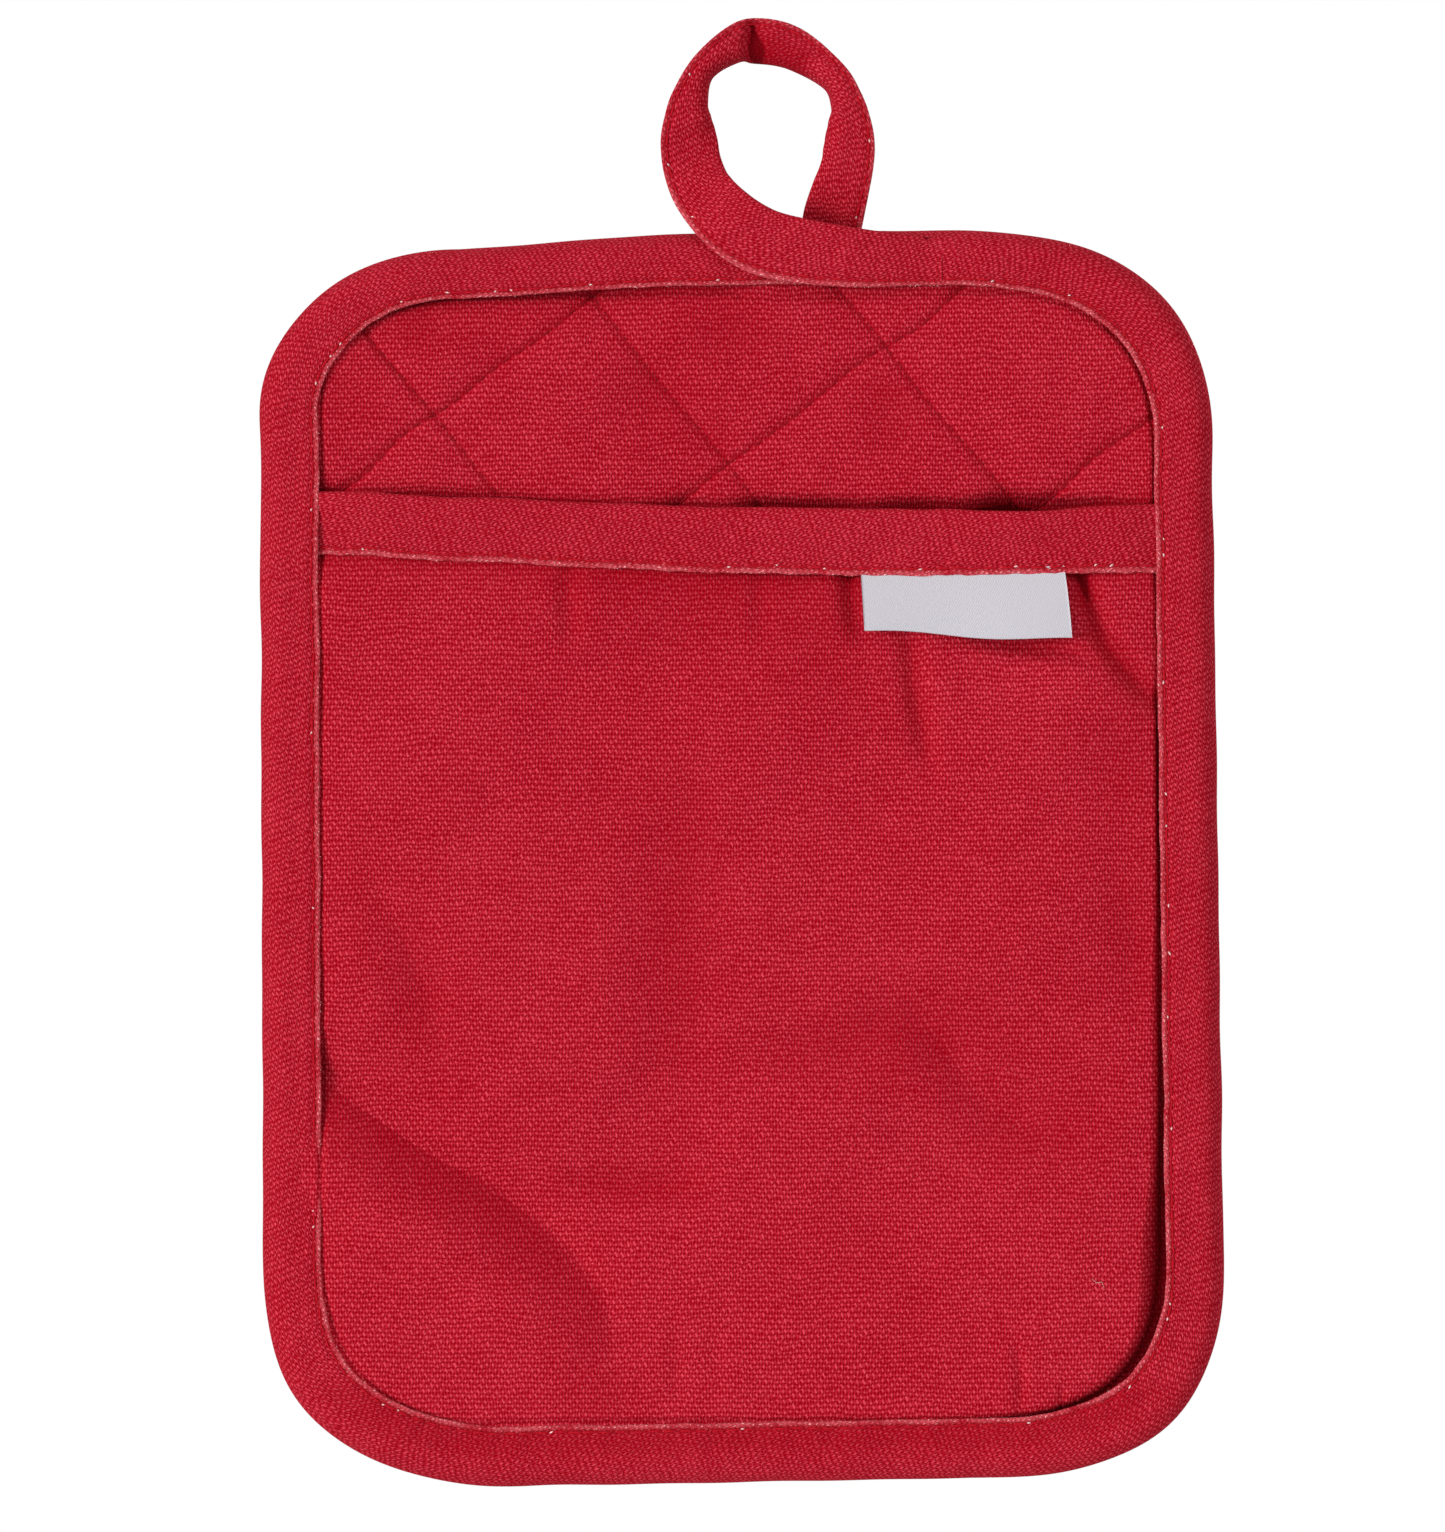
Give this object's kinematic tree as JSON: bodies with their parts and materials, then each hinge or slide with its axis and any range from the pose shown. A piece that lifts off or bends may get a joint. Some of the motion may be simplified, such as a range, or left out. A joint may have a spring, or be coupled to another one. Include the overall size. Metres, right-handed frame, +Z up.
{
  "type": "oven mitt",
  "caption": "Rectangular quilted oven mitt with a hand pocket on its front, folded tape binding, a hang loop and a small bare label.",
  "frame": {"origin": "inside top of the hang loop, where a hook touches it", "axes": "+Z up along the hanging mitt, +Y out of its back, the pocket faces -Y, +X to the right seen from the front"},
  "size_m": [0.1785, 0.0194, 0.272],
  "materials": {
    "canvas": "washed cotton canvas, plain weave",
    "binding_tape": "folded cotton canvas tape, worn pale along its folds",
    "wadding": "needled cotton wadding",
    "satin_label": "white woven satin ribbon",
    "thread": "twisted sewing thread"
  },
  "bodies": {
    "hang_loop": {"hang_loop": "binding_tape"},
    "pad": {"face_panel": "canvas", "wadding": "wadding", "back_panel": "canvas", "edge_binding": "binding_tape", "loop_start": "binding_tape", "loop_end": "binding_tape"},
    "pocket": {"pocket_panel": "canvas", "pocket_binding": "binding_tape"},
    "label": {"label": "satin_label"}
  },
  "joints": [
    {"name": "loop_bend", "type": "hinge", "parent": "hang_loop", "child": "pad", "pos_m": [0, 0, -0.02], "axis": [1, 0, 0], "range_deg": [-90, 90]},
    {"name": "pocket_open", "type": "hinge", "parent": "pad", "child": "pocket", "pos_m": [0, -0.0054, -0.25], "axis": [1, 0, 0], "range_deg": [0, 8], "stiffness_Nm_per_rad": 0.1, "springref_deg": -1.15},
    {"name": "label_flip", "type": "hinge", "parent": "pocket", "child": "label", "pos_m": [0.03855, -0.0115, -0.0951], "axis": [-1, 0, 0], "range_deg": [0, 150]}
  ]
}
